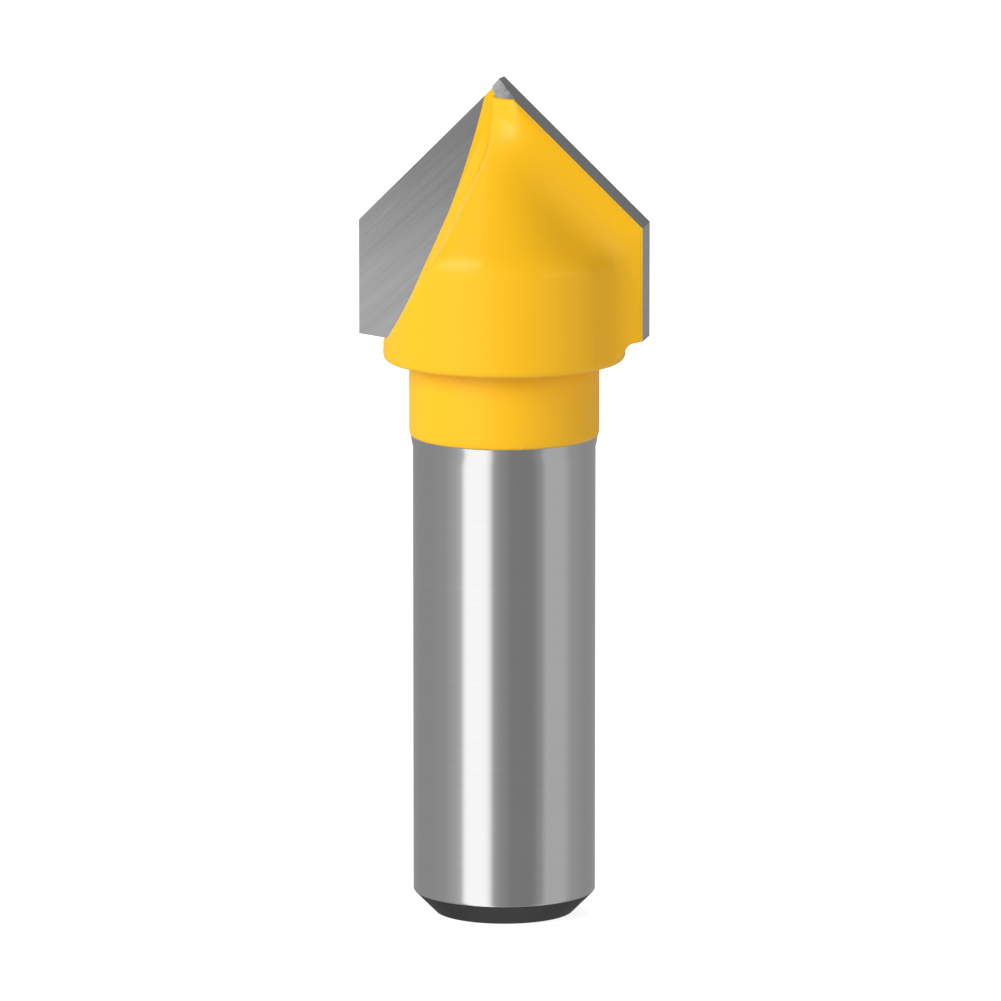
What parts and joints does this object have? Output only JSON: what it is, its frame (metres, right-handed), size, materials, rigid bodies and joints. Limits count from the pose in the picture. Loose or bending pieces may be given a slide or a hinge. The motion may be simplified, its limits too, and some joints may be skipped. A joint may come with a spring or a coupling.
{
  "type": "v groove router bit",
  "caption": "Straight-shank V groove router bit: a turned steel body with carbide blades seated in milled gullets that meet in a right-angled point.",
  "frame": {"origin": "centre of the shank's end face", "axes": "+Z along the axis from the shank to the cutting point; the blades stand along X, and the rake face of the -X blade faces -Y"},
  "size_m": [0.019, 0.0158, 0.0556],
  "materials": {
    "painted_body": "semi-gloss yellow enamel on head and neck, ground bright steel on the shank below it",
    "carbide": "ground tungsten carbide with fine diagonal grinding lines"
  },
  "bodies": {
    "root": {"body": "painted_body", "carbide_blade_front": "carbide", "carbide_blade_rear": "carbide"}
  },
  "joints": []
}
